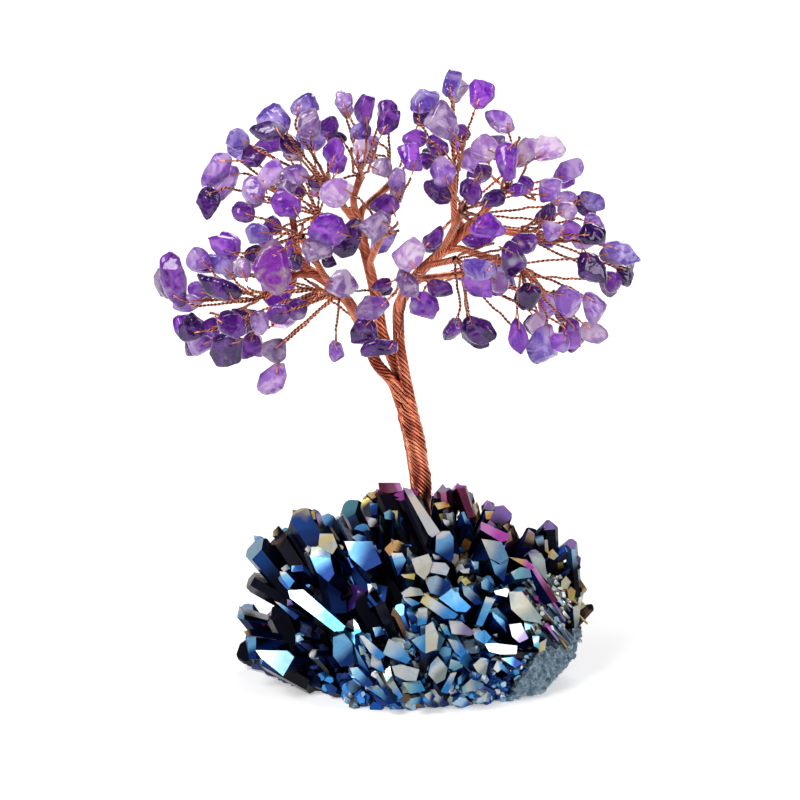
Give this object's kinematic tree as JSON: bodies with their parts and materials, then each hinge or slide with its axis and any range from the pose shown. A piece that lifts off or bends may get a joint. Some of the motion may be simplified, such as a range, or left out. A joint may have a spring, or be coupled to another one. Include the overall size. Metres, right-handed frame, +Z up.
{
  "type": "gemstone tree ornament",
  "caption": "Gemstone tree: drilled violet stone chips on twisted copper wires that gather into a trunk standing in an iridescent crystal cluster.",
  "frame": {"origin": "on the flat underside of the crystal cluster, under the middle of the ornament", "axes": "+Z up; +X to the right seen from the front; -Y is the front"},
  "size_m": [0.1272, 0.0869, 0.1628],
  "materials": {
    "aura_quartz": "natural quartz cluster with an iridescent metal vapour coating, glossy facets",
    "epoxy": "clear set resin",
    "copper_wire": "bright bare copper wire, twisted",
    "amethyst": "tumbled translucent stone, polished"
  },
  "bodies": {
    "tree": {"back_left_chips": "amethyst", "back_left_wires": "copper_wire", "back_low_chips": "amethyst", "back_low_wires": "copper_wire", "back_right_chips": "amethyst", "back_right_wires": "copper_wire", "back_top_chips": "amethyst", "back_top_wires": "copper_wire", "back_upper_chips": "amethyst", "back_upper_wires": "copper_wire", "centre_low_chips": "amethyst", "centre_low_wires": "copper_wire", "crown_centre_chips": "amethyst", "crown_centre_wires": "copper_wire", "crown_left_chips": "amethyst", "crown_left_wires": "copper_wire", "crown_top_chips": "amethyst", "crown_top_wires": "copper_wire", "epoxy_plug": "epoxy", "left_hanging_chips": "amethyst", "left_hanging_wires": "copper_wire", "left_inner_chips": "amethyst", "left_inner_wires": "copper_wire", "left_low_chips": "amethyst", "left_low_wires": "copper_wire", "left_outer_chips": "amethyst", "left_outer_wires": "copper_wire", "left_upper_chips": "amethyst", "left_upper_wires": "copper_wire", "limb_left": "copper_wire", "limb_middle": "copper_wire", "limb_right": "copper_wire", "quartz_cluster": "aura_quartz", "right_centre_chips": "amethyst", "right_centre_wires": "copper_wire", "right_inner_chips": "amethyst", "right_inner_wires": "copper_wire", "right_low_chips": "amethyst", "right_low_wires": "copper_wire", "right_outer_chips": "amethyst", "right_outer_wires": "copper_wire", "right_top_chips": "amethyst", "right_top_wires": "copper_wire", "right_upper_chips": "amethyst", "right_upper_wires": "copper_wire", "trunk": "copper_wire"},
    "hanging_chip_long_stem": {"hanging_chip_long_stem": "amethyst"},
    "hanging_chip_small": {"hanging_chip_small": "amethyst"},
    "hanging_chip_speckled": {"hanging_chip_speckled": "amethyst"}
  },
  "joints": [
    {"name": "hanging_chip_long_stem_swing", "type": "hinge", "parent": "tree", "child": "hanging_chip_long_stem", "pos_m": [-0.0342, -0.00992, 0.08375], "axis": [-0.191, -0.9813, 0.023], "range_deg": [-22, 22]},
    {"name": "hanging_chip_small_swing", "type": "hinge", "parent": "tree", "child": "hanging_chip_small", "pos_m": [-0.01912, -0.02592, 0.09451], "axis": [-0.0802, -0.9895, 0.1199], "range_deg": [-22, 22]},
    {"name": "hanging_chip_speckled_swing", "type": "hinge", "parent": "tree", "child": "hanging_chip_speckled", "pos_m": [0.02698, -0.02436, 0.09878], "axis": [0.241, -0.9653, 0.1001], "range_deg": [-22, 22]}
  ]
}
